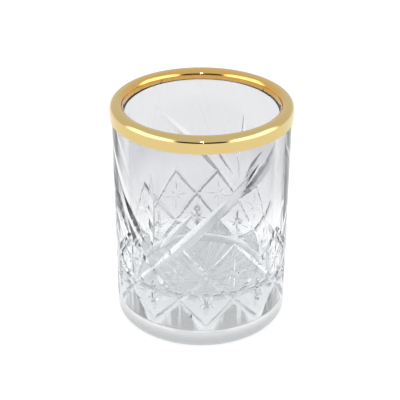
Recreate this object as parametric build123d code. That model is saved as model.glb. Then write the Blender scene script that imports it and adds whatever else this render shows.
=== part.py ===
from build123d import *
from math import cos, pi, radians, sin, tan
import os

# Pressed shot glass with a diamond-cut wall and a polished metal collar on its lip.
# Millimetres, +Z up, origin at the middle of the base on the resting surface.
# Angles round the wall are in degrees from the front (-Y) towards +X.

# Overall sizes
OVERALL_HEIGHT = 60.0        # table to the top of the collar
GLASS_TOP_RADIUS = 22.8      # outside of the glass from the collar's hem up
GLASS_BASE_RADIUS = 22.45    # outside of the glass at the base, before its edge is rounded

# Glass walls
LIP_THICKNESS = 2.5          # glass wall at the lip
FLOOR_THICKNESS = 12.0       # solid glass under the drink
LEDGE_WIDTH = 0.8            # the straight bore is this much narrower than the lip
LEDGE_GAP = 0.15             # the ledge lies this far below the collar's inner hem
LEDGE_ROUNDING = 0.5         # rounding of the ledge's inner edge
FLOOR_CORNER_RADIUS = 4.5    # rounding between inside wall and floor
BASE_EDGE_RADIUS = 2.1       # rounding of the outer bottom edge
LIP_EDGE_RADIUS = 1.15       # rounding of both edges of the lip

# Metal collar, a channel of sheet pushed down over the lip
COLLAR_WALL = 0.35           # sheet thickness
COLLAR_SKIRT_OUTER = 4.0     # height of the outer skirt, top to hem
COLLAR_SKIRT_INNER = 2.4     # height of the inner skirt, top to hem

# Bonding bead between lip and collar
BOND_GAP = 0.15              # thickness of the bead over the lip
BOND_HEM_SETBACK = 0.4       # the bead stops this far above each hem

# Mitre-cut lattice
COLUMNS = 10                 # diamonds round the wall
FANS = 2                     # open fans round the wall, each above one column
FIRST_FAN_ANGLE = -32.8      # angle of the first fan's column
LATTICE_START = 6.2          # height of the lowest crossings
ROW_RISE = 7.85              # height from one row of crossings to the next
BELT_ROWS = 3                # rows of the lattice, all the way round
CUT_DEPTH = 0.45             # depth of a lattice mitre
CUT_HALF_ANGLE = 60.0        # half of its V's angle
CUT_PIECES = 2               # straight pieces from one crossing to the next

# Ring groove that closes the pattern at the bottom
RING_HEIGHT = 5.2            # height of its sharp bottom
RING_DEPTH = 0.3             # depth under the wall
RING_HALF_WIDTH = 0.6        # half of its width at the wall

# Flat facets between the ring groove and the lattice, one under each column's lowest crossing
FACET_FOOT_DEPTH = 0.6       # how far a facet leans in at its foot
FACET_TOP_GAP = 1.0          # height from the facet's tip to the crossing above it
FACET_SHARE = 0.94           # width of its cutter as a share of one column

# Wide cuts that frame each fan, and the leaves that stand in it
FRAME_DEPTH = 0.85           # deepest point of a frame cut
FRAME_TURN = 71.4            # turn round the wall from the fan's middle to the tip of a frame cut
FRAME_TIP_HEIGHT = 51.7      # height of that tip
FRAME_PIECES = 8             # straight pieces along a frame cut
LEAF_DEPTH = 0.75            # deepest point of a leaf
LEAF_HALF_ANGLE = 60.0       # half of the V's angle of frame cuts and leaves
UPRIGHT_LEAF_GAP = 5.1       # height from the fan's crossing to the foot of its upright leaf
UPRIGHT_LEAF_LENGTH = 23.0   # length of the upright leaf
SLANT_LEAF_GAP = 6.4         # height from the fan's crossing to the foot of its slanting leaves
SLANT_LEAF_TURN = 4.8        # turn from the fan's middle to the foot of a slanting leaf
SLANT_LEAF_LENGTH = 15.0     # length of the slanting leaf on each side
SLANT_LEAF_LEAN = 38.0       # lean of a slanting leaf from upright, in degrees
LEAF_PIECES = 6              # straight pieces along a leaf

# Allowances of the cutters alone
CUTTER_OVERRUN = 0.3         # each piece of a cutter runs on by this much at both ends
CUTTER_HEIGHT = 2.2          # height of a cutter's V above its sharp edge

# Worked out from the sizes above
COLLAR_OUTER_RADIUS = GLASS_TOP_RADIUS + BOND_GAP + COLLAR_WALL
LIP_INNER_RADIUS = GLASS_TOP_RADIUS - LIP_THICKNESS
BORE_RADIUS = LIP_INNER_RADIUS - LEDGE_WIDTH
COLLAR_INNER_RADIUS = LIP_INNER_RADIUS - BOND_GAP - COLLAR_WALL
GLASS_HEIGHT = OVERALL_HEIGHT - COLLAR_WALL - BOND_GAP
OUTER_HEM = OVERALL_HEIGHT - COLLAR_SKIRT_OUTER
INNER_HEM = OVERALL_HEIGHT - COLLAR_SKIRT_INNER
LEDGE_HEIGHT = INNER_HEM - LEDGE_GAP
HALF_PITCH = 180.0 / COLUMNS
STEPS_PER_FAN = 2 * COLUMNS // FANS


def wall_radius(z):
    """Outside radius of the uncut glass wall at height z."""
    share = min(z, OUTER_HEM) / OUTER_HEM
    return GLASS_BASE_RADIUS + (GLASS_TOP_RADIUS - GLASS_BASE_RADIUS) * share


def outward(angle):
    """Unit vector pointing straight out of the wall."""
    return Vector(sin(radians(angle)), -cos(radians(angle)), 0)


def under_wall(angle, z, depth):
    """Point at a depth under the wall."""
    return outward(angle) * (wall_radius(z) - depth) + Vector(0, 0, z)


def arch(spread, foot):
    """Face that covers the lip at a distance of spread, down to a foot, with rounded top edges."""
    inner = LIP_INNER_RADIUS - spread
    outer = GLASS_TOP_RADIUS + spread
    top = GLASS_HEIGHT + spread
    outline = Polyline((inner, foot), (inner, top), (outer, top), (outer, foot), close=True)
    face = make_face(Plane.XZ * outline)
    return fillet(face.vertices().filter_by(lambda v: abs(v.Z - top) < 1e-6), LIP_EDGE_RADIUS + spread)


def upright_strip(near, far, bottom, top):
    """Rectangle in the XZ plane."""
    return make_face(Plane.XZ * Polyline((near, bottom), (far, bottom), (far, top), (near, top), close=True))


def channel(spread, sheet, outer_foot, inner_foot):
    """Ring with a U section: its inside stands spread away from the lip, and it is sheet thick."""
    low = min(outer_foot, inner_foot) - 1
    middle = (LIP_INNER_RADIUS + GLASS_TOP_RADIUS) / 2
    section = arch(spread + sheet, low) - arch(spread, low - 1)
    section -= upright_strip(0, middle, low - 1, inner_foot)
    section -= upright_strip(middle, GLASS_TOP_RADIUS + spread + 2 * sheet, low - 1, outer_foot)
    return revolve(section, Axis.Z)


def glass_blank():
    """The plain cup before it is cut."""
    outline = Polyline(
        (0, 0),
        (GLASS_BASE_RADIUS, 0),
        (wall_radius(RING_HEIGHT - RING_HALF_WIDTH), RING_HEIGHT - RING_HALF_WIDTH),
        (wall_radius(RING_HEIGHT) - RING_DEPTH, RING_HEIGHT),
        (wall_radius(RING_HEIGHT + RING_HALF_WIDTH), RING_HEIGHT + RING_HALF_WIDTH),
        (GLASS_TOP_RADIUS, OUTER_HEM),
        (GLASS_TOP_RADIUS, GLASS_HEIGHT),
        (LIP_INNER_RADIUS, GLASS_HEIGHT),
        (LIP_INNER_RADIUS, LEDGE_HEIGHT),
        (BORE_RADIUS, LEDGE_HEIGHT),
        (BORE_RADIUS, FLOOR_THICKNESS),
        (0, FLOOR_THICKNESS),
        close=True,
    )
    section = make_face(Plane.XZ * outline)
    for radius, height, rounding in (
        (GLASS_BASE_RADIUS, 0, BASE_EDGE_RADIUS),
        (GLASS_TOP_RADIUS, GLASS_HEIGHT, LIP_EDGE_RADIUS),
        (LIP_INNER_RADIUS, GLASS_HEIGHT, LIP_EDGE_RADIUS),
        (BORE_RADIUS, LEDGE_HEIGHT, LEDGE_ROUNDING),
        (BORE_RADIUS, FLOOR_THICKNESS, FLOOR_CORNER_RADIUS),
    ):
        corner = section.vertices().sort_by_distance((radius, 0, height))[0]
        section = fillet(corner, rounding)
    return revolve(section, Axis.Z)


def v_cutter(start, end, facing, half_angle):
    """Triangular prism whose sharp edge runs from start to end and which opens along facing."""
    along = (end - start).normalized()
    foot = start - along * CUTTER_OVERRUN
    plane = Plane(origin=foot, x_dir=facing - along * facing.dot(along), z_dir=along)
    half_width = CUTTER_HEIGHT * tan(radians(half_angle))
    outline = Polyline((0, 0), (CUTTER_HEIGHT, half_width), (CUTTER_HEIGHT, -half_width), close=True)
    return extrude(make_face(plane * outline), amount=(end - start).length + 2 * CUTTER_OVERRUN, dir=along)


def groove(first, last, pieces, depth_at, half_angle):
    """Cutters for one V groove between two (angle, height) places, in straight pieces."""
    cutters = []
    for piece in range(pieces):
        ends = []
        for share in (piece / pieces, (piece + 1) / pieces):
            angle = first[0] + (last[0] - first[0]) * share
            z = first[1] + (last[1] - first[1]) * share
            ends.append((angle, under_wall(angle, z, depth_at(share))))
        facing = outward((ends[0][0] + ends[1][0]) / 2)
        cutters.append(v_cutter(ends[0][1], ends[1][1], facing, half_angle))
    return cutters


def crossing(step, row):
    """Angle and height of a lattice crossing, counted in half columns and rows."""
    return FIRST_FAN_ANGLE + step * HALF_PITCH, LATTICE_START + row * ROW_RISE


def mitre(step, row, side):
    """Cutters for one lattice mitre, from a crossing up to the next on one side."""
    return groove(crossing(step, row), crossing(step + side, row + 1), CUT_PIECES,
                  lambda share: CUT_DEPTH, CUT_HALF_ANGLE)


def belt_cutters():
    """Mitres of the lattice, which runs all the way round."""
    cutters = []
    for row in range(BELT_ROWS):
        for step in range(row % 2, 2 * COLUMNS, 2):
            cutters += mitre(step, row, 1)
            cutters += mitre(step, row, -1)
    return cutters


def frame_depth(share):
    """Depth along a frame cut: a lattice mitre at its foot, deepest near its middle, nothing at its tip."""
    foot_part = CUT_DEPTH * (1 - share)
    return foot_part + (FRAME_DEPTH - CUT_DEPTH / 2) * sin(pi * share)


def frame_cutters(fan_step):
    """The two wide cuts that rise to the left and right of a fan."""
    cutters = []
    foot = crossing(fan_step, BELT_ROWS - 1)
    for side in (-1, 1):
        tip = (foot[0] + side * FRAME_TURN, FRAME_TIP_HEIGHT)
        cutters += groove(foot, tip, FRAME_PIECES, frame_depth, LEAF_HALF_ANGLE)
    return cutters


def facet_cutters():
    """Wedges that leave a flat facet, leaning in towards its foot, under each crossing of the second row."""
    cutters = []
    for step in range(1, 2 * COLUMNS, 2):
        angle, height = crossing(step, 1)
        half_width = GLASS_BASE_RADIUS * sin(radians(HALF_PITCH)) * FACET_SHARE
        side = outward(angle + 90) * half_width
        out = outward(angle) * CUTTER_HEIGHT
        foot = under_wall(angle, RING_HEIGHT, FACET_FOOT_DEPTH) - side
        tip = under_wall(angle, height - FACET_TOP_GAP, 0) - side
        outline = Polyline(foot, tip, tip + out, foot + out, close=True)
        cutters.append(extrude(make_face(outline), amount=2 * half_width, dir=side))
    return cutters


def leaf(angle, z, length, lean):
    """Cutters for one leaf, pointed at both ends, from its foot upwards."""
    turn = length * sin(radians(lean)) / wall_radius(z) * 180 / pi
    tip = (angle + turn, z + length * cos(radians(lean)))
    return groove((angle, z), tip, LEAF_PIECES, lambda share: LEAF_DEPTH * sin(pi * share), LEAF_HALF_ANGLE)


def fan_cutters(fan_step):
    """The upright leaf of a fan and the slanting leaf on each side of it."""
    middle, height = crossing(fan_step, BELT_ROWS - 1)
    cutters = leaf(middle, height + UPRIGHT_LEAF_GAP, UPRIGHT_LEAF_LENGTH, 0)
    for side in (-1, 1):
        cutters += leaf(middle + side * SLANT_LEAF_TURN, height + SLANT_LEAF_GAP,
                        SLANT_LEAF_LENGTH, side * SLANT_LEAF_LEAN)
    return cutters


def make_glass_body():
    """The cup with all its cuts."""
    cutters = belt_cutters() + facet_cutters()
    for fan in range(FANS):
        fan_step = fan * STEPS_PER_FAN
        cutters += frame_cutters(fan_step)
        cutters += fan_cutters(fan_step)
    return glass_blank() - cutters


def make_rim_adhesive():
    """Thin cured bead that fills the channel of the collar."""
    return channel(0, BOND_GAP, OUTER_HEM + BOND_HEM_SETBACK, INNER_HEM + BOND_HEM_SETBACK)


def make_rim_collar():
    """Polished metal channel over the lip."""
    return channel(BOND_GAP, COLLAR_WALL, OUTER_HEM, INNER_HEM)


os.makedirs("parts", exist_ok=True)
export_step(make_glass_body(), "parts/glass_body.step")
export_step(make_rim_adhesive(), "parts/rim_adhesive.step")
export_step(make_rim_collar(), "parts/rim_collar.step")
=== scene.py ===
import bpy
from math import asin, atan2, cos, degrees, pi, radians, sin, sqrt, tan
from mathutils import Euler, Matrix, Vector


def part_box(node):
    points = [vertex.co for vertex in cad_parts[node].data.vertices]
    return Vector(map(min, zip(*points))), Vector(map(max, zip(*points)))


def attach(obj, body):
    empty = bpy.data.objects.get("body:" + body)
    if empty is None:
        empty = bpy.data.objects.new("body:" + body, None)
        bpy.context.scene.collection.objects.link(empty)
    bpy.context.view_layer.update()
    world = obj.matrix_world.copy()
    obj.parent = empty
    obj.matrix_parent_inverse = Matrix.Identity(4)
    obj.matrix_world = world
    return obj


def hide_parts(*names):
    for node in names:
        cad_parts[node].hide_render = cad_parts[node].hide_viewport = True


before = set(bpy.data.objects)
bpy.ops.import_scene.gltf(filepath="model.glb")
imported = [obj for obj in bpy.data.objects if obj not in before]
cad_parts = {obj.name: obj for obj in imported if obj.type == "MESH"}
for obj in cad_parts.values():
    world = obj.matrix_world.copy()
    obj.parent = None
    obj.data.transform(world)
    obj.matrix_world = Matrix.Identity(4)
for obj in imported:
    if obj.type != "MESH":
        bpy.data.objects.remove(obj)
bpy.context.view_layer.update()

# Sizes in metres. Overall sizes come from the frame; the rest repeats the design's own values.
MM = 0.001
glass_low, glass_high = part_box("glass_body")
collar_low, collar_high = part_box("rim_collar")
bead_low, bead_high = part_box("rim_adhesive")

TOP_RADIUS = glass_high[0]
BASE_RADIUS = TOP_RADIUS - 0.35 * MM
GLASS_HEIGHT = glass_high[2]
COLLAR_RADIUS = collar_high[0]
COLLAR_TOP = collar_high[2]
OUTER_HEM = collar_low[2]
INNER_HEM = OUTER_HEM + 1.6 * MM
LIP_THICKNESS = 2.5 * MM
LIP_INNER_RADIUS = TOP_RADIUS - LIP_THICKNESS
LIP_EDGE = 1.15 * MM
SEAT_GAP = 0.15 * MM
SEAT_ROUND = 0.5 * MM
FLOOR_HEIGHT = 12.0 * MM
BORE_RADIUS = 19.5 * MM
FLOOR_CORNER = 4.5 * MM
BASE_EDGE = 2.1 * MM
BOND_GAP = 0.15 * MM
COLLAR_WALL = 0.35 * MM

# Cut pattern: crossings are counted in half columns (steps) and rows.
COLUMNS = 10
FANS = 2
FIRST_FAN_ANGLE = -32.8
LATTICE_START = 6.2 * MM
ROW_RISE = 7.85 * MM
BELT_ROWS = 3
TENT_ROWS = 0
HALF_PITCH = 180.0 / COLUMNS
STEPS_PER_FAN = 2 * COLUMNS // FANS
UPPER_ROW = BELT_ROWS + TENT_ROWS
RING_HEIGHT = 5.2 * MM
RING_DEPTH = 0.3 * MM
RING_HALF_WIDTH = 0.6 * MM
FACET_FOOT_DEPTH = 0.6 * MM
FACET_TOP_GAP = 1.0 * MM
FACET_HALF_WIDTH = 6.5 * MM
FRAME_TIP_TURN = 71.4
FRAME_TIP_HEIGHT = 51.7 * MM


# ---------------------------------------------------------------- mesh helpers

def new_mesh_object(name, vertices, faces):
    """Object from plain lists, with its faces turned outwards."""
    mesh = bpy.data.meshes.new(name)
    mesh.from_pydata(vertices, [], faces)
    mesh.validate()
    piece = bpy.data.objects.new(name, mesh)
    bpy.context.scene.collection.objects.link(piece)
    return piece


def arc(centre, radius, start, end, count):
    """Points of an arc in the (radius, height) plane, angles in degrees."""
    points = []
    for i in range(count + 1):
        angle = radians(start + (end - start) * i / count)
        points.append((centre[0] + radius * cos(angle), centre[1] + radius * sin(angle)))
    return points


def lathe(name, outline, segments, closed):
    """Solid of revolution about Z. An open outline starts and ends on the axis."""
    vertices = []
    faces = []
    count = len(outline)
    rings = []
    for radius, height in outline:
        if radius < 1e-7:
            rings.append([len(vertices)] * segments)
            vertices.append((0.0, 0.0, height))
            continue
        rings.append(list(range(len(vertices), len(vertices) + segments)))
        for i in range(segments):
            turn = 2 * pi * i / segments
            vertices.append((radius * cos(turn), radius * sin(turn), height))
    spans = range(count if closed else count - 1)
    for k in spans:
        lower = rings[k]
        upper = rings[(k + 1) % count]
        for i in range(segments):
            j = (i + 1) % segments
            corners = [lower[i], lower[j], upper[j], upper[i]]
            faces.append(tuple(dict.fromkeys(corners)))
    return new_mesh_object(name, vertices, faces)


def smooth_except_creases(piece, angle):
    """Smooth shading that stops at every edge sharper than the angle."""
    mesh = piece.data
    mesh.polygons.foreach_set("use_smooth", [True] * len(mesh.polygons))
    mesh.set_sharp_from_angle(angle=radians(angle))


# ---------------------------------------------------------------- glass

def wall_radius(height):
    """Outside radius of the uncut wall."""
    return BASE_RADIUS + (TOP_RADIUS - BASE_RADIUS) * min(height, OUTER_HEM) / OUTER_HEM


def wall_point(angle, height, lift):
    """Point at a distance outside the wall, at an angle from the front (-Y) towards +X."""
    radius = wall_radius(height) + lift
    turn = radians(angle)
    return Vector((radius * sin(turn), -radius * cos(turn), height))


def crossing(step, row):
    """Angle and height of a lattice crossing."""
    return FIRST_FAN_ANGLE + step * HALF_PITCH, LATTICE_START + row * ROW_RISE


def seat():
    """Points from the lip's inner face down over the ledge that the collar's inner skirt stands on."""
    ledge = INNER_HEM - SEAT_GAP
    round_centre = (BORE_RADIUS + SEAT_ROUND, ledge - SEAT_ROUND)
    return [(LIP_INNER_RADIUS, ledge)] + arc(round_centre, SEAT_ROUND, 90, 180, 8)


def glass_outline():
    """Outline of the cup in the (radius, height) plane, from the middle of the base round to the floor."""
    slope = atan2(TOP_RADIUS - BASE_RADIUS, OUTER_HEM)
    points = [(0.0, 0.0)]
    base_centre = (BASE_RADIUS - BASE_EDGE + BASE_EDGE * tan(slope), BASE_EDGE)
    points += arc(base_centre, BASE_EDGE, -90, 0, 12)
    for offset, depth in ((-RING_HALF_WIDTH, 0), (0, RING_DEPTH), (RING_HALF_WIDTH, 0)):
        points.append((wall_radius(RING_HEIGHT + offset) - depth, RING_HEIGHT + offset))
    points.append((TOP_RADIUS, OUTER_HEM))
    points += arc((TOP_RADIUS - LIP_EDGE, GLASS_HEIGHT - LIP_EDGE), LIP_EDGE, 0, 90, 8)
    points += arc((LIP_INNER_RADIUS + LIP_EDGE, GLASS_HEIGHT - LIP_EDGE), LIP_EDGE, 90, 180, 8)
    points += seat()
    points += arc((BORE_RADIUS - FLOOR_CORNER, FLOOR_HEIGHT + FLOOR_CORNER), FLOOR_CORNER, 0, -90, 16)
    points.append((0.0, FLOOR_HEIGHT))
    return points


class Cutters:
    """Closed V-shaped canoes gathered into one mesh. Shells in one gathering must not meet."""

    LIFT = 0.06 * MM

    def __init__(self):
        self.vertices = []
        self.faces = []

    def add(self, place, depth, half_angle, stations):
        """One canoe along place(share) with a sharp keel at depth(share) under the wall."""
        first = len(self.vertices)
        spread = tan(radians(half_angle))
        for i in range(stations + 1):
            share = i / stations
            angle, height = place(share)
            ahead = place(min(share + 0.01, 1.0))
            behind = place(max(share - 0.01, 0.0))
            along = wall_point(*ahead, 0) - wall_point(*behind, 0)
            out = Vector((sin(radians(angle)), -cos(radians(angle)), 0))
            across = out.cross(along).normalized()
            keel = depth(share)
            top = wall_point(angle, height, self.LIFT)
            if i in (0, stations):
                self.vertices.append(top)
                continue
            reach = (keel + self.LIFT) * spread
            self.vertices.append(top - out * (keel + self.LIFT))
            self.vertices.append(top + across * reach)
            self.vertices.append(top - across * reach)
        last = len(self.vertices) - 1
        for i in range(stations):
            a = first + 1 + 3 * (i - 1)
            b = a + 3
            if i == 0:
                start = first + 1
                self.faces += [(first, start + 1, start), (first, start, start + 2), (first, start + 2, start + 1)]
            elif i == stations - 1:
                self.faces += [(last, a, a + 1), (last, a + 2, a), (last, a + 1, a + 2)]
            else:
                self.faces += [(a, a + 1, b + 1, b), (a + 2, a, b, b + 2), (a + 1, a + 2, b + 2, b + 1)]

    def cut_from(self, piece):
        """Takes these canoes out of a solid."""
        tool = new_mesh_object("cutter", self.vertices, self.faces)
        modifier = piece.modifiers.new("cut", "BOOLEAN")
        modifier.operation = "DIFFERENCE"
        modifier.solver = "MANIFOLD"
        modifier.object = tool
        graph = bpy.context.evaluated_depsgraph_get()
        cut = bpy.data.meshes.new_from_object(piece.evaluated_get(graph))
        piece.modifiers.clear()
        piece.data = cut
        bpy.data.objects.remove(tool)


MITRE_DEPTH = 0.45 * MM
MITRE_HALF_ANGLE = 60.0
FRAME_DEPTH = 0.95 * MM
LEAF_HALF_ANGLE = 60.0
PETAL_HALF_ANGLE = 46.0


def between(first, last):
    """Place function of a straight line on the unrolled wall."""
    def place(share):
        return first[0] + (last[0] - first[0]) * share, first[1] + (last[1] - first[1]) * share
    return place


def mitre_depth(share):
    """Even depth that runs out at both ends."""
    run_out = 0.04
    edge = min(share, 1 - share) / run_out
    full = MITRE_DEPTH
    return full if edge >= 1 else (full + Cutters.LIFT) * sqrt(1 - (1 - edge) ** 2) - Cutters.LIFT


def pointed(deepest):
    """Depth function of a leaf: a circular cut that is pointed at both ends."""
    return lambda share: (deepest + Cutters.LIFT) * 4 * share * (1 - share) - Cutters.LIFT


def strand_cutters(side):
    """All lattice lines that lean to one side."""
    cutters = Cutters()
    for start in range(0, 2 * COLUMNS, 2):
        climb = (start * side) % STEPS_PER_FAN
        rows = min((STEPS_PER_FAN + BELT_ROWS - 1 - climb) / 2, UPPER_ROW)
        place = between(crossing(start - 0.14 * side, -0.14), crossing(start + (rows + 0.1) * side, rows + 0.1))
        cutters.add(place, mitre_depth, MITRE_HALF_ANGLE, int(10 * rows))
    return cutters


def frame_cutters(side):
    """The long wide cut on one side of each fan."""
    cutters = Cutters()
    for fan in range(FANS):
        step = fan * STEPS_PER_FAN
        foot = crossing(step - 0.3 * side, BELT_ROWS - 1 - 0.3)
        tip = (crossing(step, 0)[0] + FRAME_TIP_TURN * side, FRAME_TIP_HEIGHT)
        cutters.add(between(foot, tip), pointed(FRAME_DEPTH), LEAF_HALF_ANGLE, 60)
    return cutters


def leaf(cutters, angle, height, length, lean, deepest, half_angle, stations):
    """Adds one leaf from its foot along a lean from upright, in degrees."""
    turn = degrees(length * sin(radians(lean)) / wall_radius(height))
    place = between((angle, height), (angle + turn, height + length * cos(radians(lean))))
    cutters.add(place, pointed(deepest), half_angle, stations)


def fan_cutters(lean):
    """The leaf of each fan that stands at one lean."""
    cutters = Cutters()
    for fan in range(FANS):
        angle, height = crossing(fan * STEPS_PER_FAN, BELT_ROWS - 1)
        if lean == 0:
            leaf(cutters, angle, 27.0 * MM, 23.0 * MM, 0, 0.6 * MM, LEAF_HALF_ANGLE, 40)
        else:
            side = 1 if lean > 0 else -1
            leaf(cutters, angle + 4.8 * side, 28.3 * MM, 15.0 * MM, lean, 0.6 * MM, LEAF_HALF_ANGLE, 30)
    return cutters


def facet_cutters():
    """The flat facet under each second-lowest crossing, leaning in towards its foot."""
    cutters = Cutters()
    for step in range(1, 2 * COLUMNS, 2):
        angle, top = crossing(step, 1)
        top -= FACET_TOP_GAP
        foot = RING_HEIGHT
        out = Vector((sin(radians(angle)), -cos(radians(angle)), 0))
        side = Vector((cos(radians(angle)), sin(radians(angle)), 0)) * FACET_HALF_WIDTH
        inner = [wall_point(angle, foot, -FACET_FOOT_DEPTH), wall_point(angle, top, 0)]
        outer = [point + out * 3 * MM for point in inner]
        first = len(cutters.vertices)
        for point in (inner[0], inner[1], outer[1], outer[0]):
            cutters.vertices += [point - side, point + side]
        cutters.faces += [(first, first + 2, first + 4, first + 6), (first + 7, first + 5, first + 3, first + 1)]
        for k in range(4):
            a = first + 2 * k
            b = first + 2 * ((k + 1) % 4)
            cutters.faces.append((a, a + 1, b + 1, b))
    return cutters


def diamond_centres():
    """Step and row of the middle of every whole diamond."""
    centres = []
    for row in (1, 2):
        for step in range((row + 1) % 2, 2 * COLUMNS, 2):
            centres.append((step, row))
    for fan in range(FANS):
        for row in range(BELT_ROWS, UPPER_ROW):
            inset = row - BELT_ROWS + 2
            for step in range(inset, STEPS_PER_FAN - inset + 1, 2):
                centres.append((fan * STEPS_PER_FAN + step, row))
    return centres


def star_cutters():
    """A star of eight petals in every diamond."""
    cutters = Cutters()
    for step, row in diamond_centres():
        angle, height = crossing(step, row)
        for k in range(8):
            lean = 45 * k
            length = (4.6 if k % 4 == 0 else 4.1 if k % 2 == 0 else 2.5) * MM
            start = 0.15 * MM
            start_angle = angle + degrees(start * sin(radians(lean)) / wall_radius(height))
            start_height = height + start * cos(radians(lean))
            depth = (0.8 if k % 2 == 0 else 0.45) * MM * (1.0 if row == 1 else 0.3)
            leaf(cutters, start_angle, start_height, length, lean, depth, PETAL_HALF_ANGLE, 12)
    return cutters


def make_glass_body():
    """The pressed cup with every cut."""
    piece = lathe("cut_glass_cup", glass_outline(), 240, closed=False)
    gatherings = [strand_cutters(1), strand_cutters(-1), frame_cutters(1), frame_cutters(-1)]
    gatherings += [fan_cutters(lean) for lean in (0, -38, 38)]
    gatherings.append(star_cutters())
    gatherings.insert(0, facet_cutters())
    for cutters in gatherings:
        cutters.cut_from(piece)
    smooth_except_creases(piece, 14)
    return piece


# ---------------------------------------------------------------- collar and bead

def channel_outline(spread, sheet, outer_foot, inner_foot):
    """Closed outline of a U channel that stands spread away from the lip and is sheet thick."""
    def side(offset, flip):
        edge = LIP_EDGE + offset
        top = GLASS_HEIGHT + offset
        right = arc((TOP_RADIUS + offset - edge, top - edge), edge, 0, 90, 12)
        left = arc((LIP_INNER_RADIUS - offset + edge, top - edge), edge, 90, 180, 12)
        points = [(TOP_RADIUS + offset, outer_foot)] + right + left + [(LIP_INNER_RADIUS - offset, inner_foot)]
        return points[::-1] if flip else points
    return side(spread + sheet, False) + side(spread, True)


def make_collar():
    """The metal channel."""
    piece = lathe("polished_collar", channel_outline(BOND_GAP, COLLAR_WALL, OUTER_HEM, INNER_HEM), 256, closed=True)
    smooth_except_creases(piece, 30)
    return piece


def make_bead():
    """The bonding bead, a hair thinner than its gap."""
    clear = 0.02 * MM
    outline = channel_outline(clear, BOND_GAP - 2 * clear, OUTER_HEM + 0.4 * MM, INNER_HEM + 0.4 * MM)
    piece = lathe("bonding_bead", outline, 128, closed=True)
    smooth_except_creases(piece, 30)
    return piece


# ---------------------------------------------------------------- materials

# Painted shade: the bottom band of the glass is darker where it meets the floor.
BASE_PAINTED_SHADE_TONE = (0.40, 0.415, 0.43)
WALL_TONE = (0.972, 0.976, 0.98)
# Painted shade: the glass greys towards the lip, standing in for the shaded floor seen through the walls.
LIP_PAINTED_SHADE_TONE = (0.72, 0.72, 0.735)
CUT_TONE = (0.88, 0.885, 0.895)
CUT_ROUGHNESS = 0.24
BELT_ROUGHNESS = 0.08
GOLD_TONE = (0.665, 0.505, 0.215)
# Painted reflection and shade: a deeper orange for gold reflected in gold inside the ring.
INNER_GOLD_PAINTED_REFLECTION_TONE = (0.72, 0.42, 0.12)
CLEAR_BEAD_TONE = (0.88, 0.82, 0.66)
YELLOWED_BEAD_TONE = (0.80, 0.70, 0.50)


def new_material(name):
    """Material with nodes, its tree and its Principled shader."""
    material = bpy.data.materials.new(name)
    material.use_nodes = True
    tree = material.node_tree
    return material, tree, tree.nodes["Principled BSDF"]


def smooth_step(tree, value, start, end):
    """Socket that goes smoothly from 0 at start to 1 at end."""
    ramp = tree.nodes.new("ShaderNodeMapRange")
    ramp.interpolation_type = "SMOOTHSTEP"
    ramp.inputs["From Min"].default_value = start
    ramp.inputs["From Max"].default_value = end
    tree.links.new(value, ramp.inputs["Value"])
    return ramp.outputs["Result"]


def calculate(tree, operation, *values):
    """Socket of a math node on sockets or plain numbers."""
    node = tree.nodes.new("ShaderNodeMath")
    node.operation = operation
    for slot, value in zip(node.inputs, values):
        if isinstance(value, (int, float)):
            slot.default_value = value
        else:
            tree.links.new(value, slot)
    return node.outputs["Value"]


def blend_tones(tree, factor, first, second):
    """Socket of a colour that goes from first to second; either may be a socket."""
    node = tree.nodes.new("ShaderNodeMix")
    node.data_type = "RGBA"
    tree.links.new(factor, node.inputs["Factor"])
    for name, tone in (("A", first), ("B", second)):
        slot = [socket for socket in node.inputs if socket.name == name and socket.type == "RGBA"][0]
        if isinstance(tone, tuple):
            slot.default_value = (*tone, 1)
        else:
            tree.links.new(tone, slot)
    return [socket for socket in node.outputs if socket.type == "RGBA"][0]


def axis_radius(tree, position):
    """Socket of the distance from the upright axis."""
    flat = tree.nodes.new("ShaderNodeVectorMath")
    flat.operation = "MULTIPLY"
    flat.inputs[1].default_value = (1, 1, 0)
    length = tree.nodes.new("ShaderNodeVectorMath")
    length.operation = "LENGTH"
    tree.links.new(position, flat.inputs[0])
    tree.links.new(flat.outputs["Vector"], length.inputs[0])
    return length.outputs["Value"]


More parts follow.
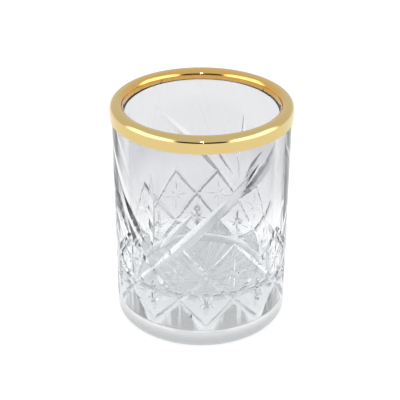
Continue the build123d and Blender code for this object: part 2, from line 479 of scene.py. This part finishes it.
def glass_material():
    """Clear pressed glass with a moulded ripple and softer cuts; painted shade makes it greyer at the lip and at
    the base.
    """
    material, tree, shader = new_material("pressed_glass")
    place = tree.nodes.new("ShaderNodeTexCoord").outputs["Object"]
    split = tree.nodes.new("ShaderNodeSeparateXYZ")
    tree.links.new(place, split.inputs["Vector"])
    height = split.outputs["Z"]
    # Painted shade: the glass darkens below 6.5 mm, towards the floor.
    wall_tone_with_painted_base_shade = blend_tones(tree, smooth_step(tree, height, 2 * MM, 6.5 * MM), BASE_PAINTED_SHADE_TONE, WALL_TONE)
    # Painted shade: blend towards the grey lip tone from 30 to 42 mm up.
    tone = blend_tones(tree, smooth_step(tree, height, 30 * MM, 42 * MM), wall_tone_with_painted_base_shade, LIP_PAINTED_SHADE_TONE)

    taper = (TOP_RADIUS - BASE_RADIUS) / OUTER_HEM
    wall = calculate(tree, "MULTIPLY_ADD", height, taper, BASE_RADIUS)
    under = calculate(tree, "SUBTRACT", wall, axis_radius(tree, place))
    cut = calculate(tree, "MULTIPLY", smooth_step(tree, under, 0.03 * MM, 0.15 * MM),
                    smooth_step(tree, under, 1.8 * MM, 1.5 * MM))
    cut = calculate(tree, "MULTIPLY", cut, smooth_step(tree, height, 2.5 * MM, 3.5 * MM))
    tree.links.new(blend_tones(tree, cut, tone, CUT_TONE), shader.inputs["Base Color"])
    belt = calculate(tree, "MULTIPLY", smooth_step(tree, height, 12 * MM, 14 * MM),
                     smooth_step(tree, height, 31 * MM, 28 * MM))
    haze = calculate(tree, "MULTIPLY_ADD", belt, BELT_ROUGHNESS - CUT_ROUGHNESS, CUT_ROUGHNESS)
    tree.links.new(calculate(tree, "MULTIPLY", cut, haze), shader.inputs["Roughness"])

    ripple = tree.nodes.new("ShaderNodeTexNoise")
    ripple.inputs["Scale"].default_value = 160.0
    ripple.inputs["Detail"].default_value = 2.0
    tree.links.new(place, ripple.inputs["Vector"])
    bump = tree.nodes.new("ShaderNodeBump")
    bump.inputs["Strength"].default_value = 1.0
    bump.inputs["Distance"].default_value = 0.02 * MM
    tree.links.new(ripple.outputs["Fac"], bump.inputs["Height"])
    tree.links.new(bump.outputs["Normal"], shader.inputs["Normal"])

    shader.inputs["IOR"].default_value = 1.52
    shader.inputs["Transmission Weight"].default_value = 1.0
    absorption = tree.nodes.new("ShaderNodeVolumeAbsorption")
    absorption.inputs["Color"].default_value = (0.80, 0.84, 0.87, 1)
    absorption.inputs["Density"].default_value = 25.0
    tree.links.new(absorption.outputs["Volume"], tree.nodes["Material Output"].inputs["Volume"])
    return material


def polishing_lines(tree, position):
    """Socket of fine lines that run round the ring, as a buffing wheel leaves them."""
    split = tree.nodes.new("ShaderNodeSeparateXYZ")
    tree.links.new(position, split.inputs["Vector"])
    section = tree.nodes.new("ShaderNodeCombineXYZ")
    tree.links.new(axis_radius(tree, position), section.inputs["X"])
    tree.links.new(split.outputs["Z"], section.inputs["Y"])
    lines = tree.nodes.new("ShaderNodeTexNoise")
    lines.inputs["Scale"].default_value = 6000.0
    lines.inputs["Detail"].default_value = 3.0
    tree.links.new(section.outputs["Vector"], lines.inputs["Vector"])
    return lines.outputs["Fac"]


def gold_material():
    """Polished plating: yellow gold outside, with painted reflection and shade turning the inside of the ring a
    deeper orange.
    """
    material, tree, shader = new_material("gold_plating")
    place = tree.nodes.new("ShaderNodeTexCoord").outputs["Object"]
    # Painted reflection and shade: the colour turns deeper orange towards the inside of the ring.
    inside = smooth_step(tree, axis_radius(tree, place), LIP_INNER_RADIUS + 1.3 * MM, LIP_INNER_RADIUS - 0.5 * MM)
    tree.links.new(blend_tones(tree, inside, GOLD_TONE, INNER_GOLD_PAINTED_REFLECTION_TONE), shader.inputs["Base Color"])
    shader.inputs["Metallic"].default_value = 1.0

    lines = polishing_lines(tree, place)
    tree.links.new(calculate(tree, "MULTIPLY_ADD", lines, 0.04, 0.03), shader.inputs["Roughness"])
    bump = tree.nodes.new("ShaderNodeBump")
    bump.inputs["Strength"].default_value = 0.3
    bump.inputs["Distance"].default_value = 0.004 * MM
    tree.links.new(lines, bump.inputs["Height"])
    tree.links.new(bump.outputs["Normal"], shader.inputs["Normal"])
    return material


def bead_material():
    """Cured clear adhesive, unevenly yellowed and a little lumpy."""
    material, tree, shader = new_material("cured_bead")
    place = tree.nodes.new("ShaderNodeTexCoord").outputs["Object"]
    clouds = tree.nodes.new("ShaderNodeTexNoise")
    clouds.inputs["Scale"].default_value = 500.0
    clouds.inputs["Detail"].default_value = 3.0
    tree.links.new(place, clouds.inputs["Vector"])
    tree.links.new(blend_tones(tree, clouds.outputs["Fac"], CLEAR_BEAD_TONE, YELLOWED_BEAD_TONE),
                   shader.inputs["Base Color"])
    tree.links.new(calculate(tree, "MULTIPLY_ADD", clouds.outputs["Fac"], 0.2, 0.2), shader.inputs["Roughness"])
    bump = tree.nodes.new("ShaderNodeBump")
    bump.inputs["Strength"].default_value = 0.5
    bump.inputs["Distance"].default_value = 0.02 * MM
    tree.links.new(clouds.outputs["Fac"], bump.inputs["Height"])
    tree.links.new(bump.outputs["Normal"], shader.inputs["Normal"])
    shader.inputs["Transmission Weight"].default_value = 0.6
    return material


def floor_material():
    material, tree, shader = new_material("pale_floor")
    shader.inputs["Base Color"].default_value = (0.35, 0.35, 0.35, 1)
    shader.inputs["Roughness"].default_value = 0.9
    shader.inputs["Emission Color"].default_value = (1, 1, 1, 1)
    shader.inputs["Emission Strength"].default_value = 0.69
    return material


# ---------------------------------------------------------------- stage

KEY_STRENGTH = 1.2
KEY_ANGLE = 3.0
TENT_LIGHT = 0.85
PANEL_LIGHT = 3.0

def make_floor():
    size = 3.0
    floor = new_mesh_object("floor", [(-size, -size, 0), (size, -size, 0), (size, size, 0), (-size, size, 0)],
                            [(0, 1, 2, 3)])
    floor.data.materials.append(floor_material())


def make_lights():
    """One small bright lamp from the camera's side, so that the shadow falls behind the glass."""
    light = bpy.data.lights.new("front_lamp", "SUN")
    light.energy = KEY_STRENGTH
    light.angle = radians(KEY_ANGLE)
    lamp = bpy.data.objects.new("front_lamp", light)
    bpy.context.scene.collection.objects.link(lamp)
    lamp.rotation_euler = (pi / 2 - radians(CAMERA_ELEVATION), 0, 0)


def make_world():
    """A pale tent with a bright panel at each side and a dark opening behind the camera."""
    world = bpy.data.worlds.new("studio")
    bpy.context.scene.world = world
    world.use_nodes = True
    tree = world.node_tree
    background = tree.nodes["Background"]
    place = tree.nodes.new("ShaderNodeTexCoord")
    split = tree.nodes.new("ShaderNodeSeparateXYZ")
    tree.links.new(place.outputs["Generated"], split.inputs["Vector"])
    x, y, z = (split.outputs[name] for name in "XYZ")
    sideways = calculate(tree, "ABSOLUTE", x)
    low = smooth_step(tree, z, 0.75, 0.5)
    panel = calculate(tree, "MULTIPLY", smooth_step(tree, sideways, 0.45, 0.62), low)
    front = calculate(tree, "MULTIPLY", panel, smooth_step(tree, y, 0.3, 0.0))
    opening = calculate(tree, "MULTIPLY", smooth_step(tree, y, -0.76, -0.86), smooth_step(tree, z, 0.5, 0.4))
    opening = calculate(tree, "MULTIPLY", opening, smooth_step(tree, z, 0.0, 0.15))
    tent = calculate(tree, "MULTIPLY_ADD", front, PANEL_LIGHT - TENT_LIGHT, TENT_LIGHT)
    level = calculate(tree, "MULTIPLY_ADD", opening, -1.0 * TENT_LIGHT + 0.02, tent)
    tree.links.new(level, background.inputs["Color"])
    background.inputs["Strength"].default_value = 1.0


# Camera: elevation, distance and aim of the view, with the lens for a 36 mm wide sensor
CAMERA_ELEVATION = 28.2157
CAMERA_ROLL = 0.1382
CAMERA_DISTANCE = 13.386 * TOP_RADIUS
CAMERA_AIM = Vector((-0.0718 * TOP_RADIUS, 0, 1.3787 * TOP_RADIUS))
CAMERA_LENS = 104.62
CAMERA_SHIFT_X = 0.01217


def make_camera():
    data = bpy.data.cameras.new("camera")
    data.sensor_width = 36.0
    data.lens = CAMERA_LENS
    data.shift_x = CAMERA_SHIFT_X
    data.clip_start = 0.01
    camera = bpy.data.objects.new("camera", data)
    bpy.context.scene.collection.objects.link(camera)
    tilt = radians(CAMERA_ELEVATION)
    camera.location = CAMERA_AIM + Vector((0, -cos(tilt), sin(tilt))) * CAMERA_DISTANCE
    camera.rotation_euler = Euler((pi / 2 - tilt, 0, 0))
    camera.rotation_euler.rotate_axis("Z", radians(CAMERA_ROLL))
    bpy.context.scene.camera = camera
    bpy.context.scene.view_settings.view_transform = "Standard"


# ---------------------------------------------------------------- build

make_camera()
make_world()
make_lights()
make_floor()

for make, node, slot, finish in (
    (make_glass_body, "glass_body", "clear_glass", glass_material),
    (make_collar, "rim_collar", "gold_brass", gold_material),
    (make_bead, "rim_adhesive", "bonding_bead", bead_material),
):
    piece = make()
    piece.data.materials.clear()
    piece.data.materials.append(finish())
    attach(piece, "root")
    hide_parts(node)
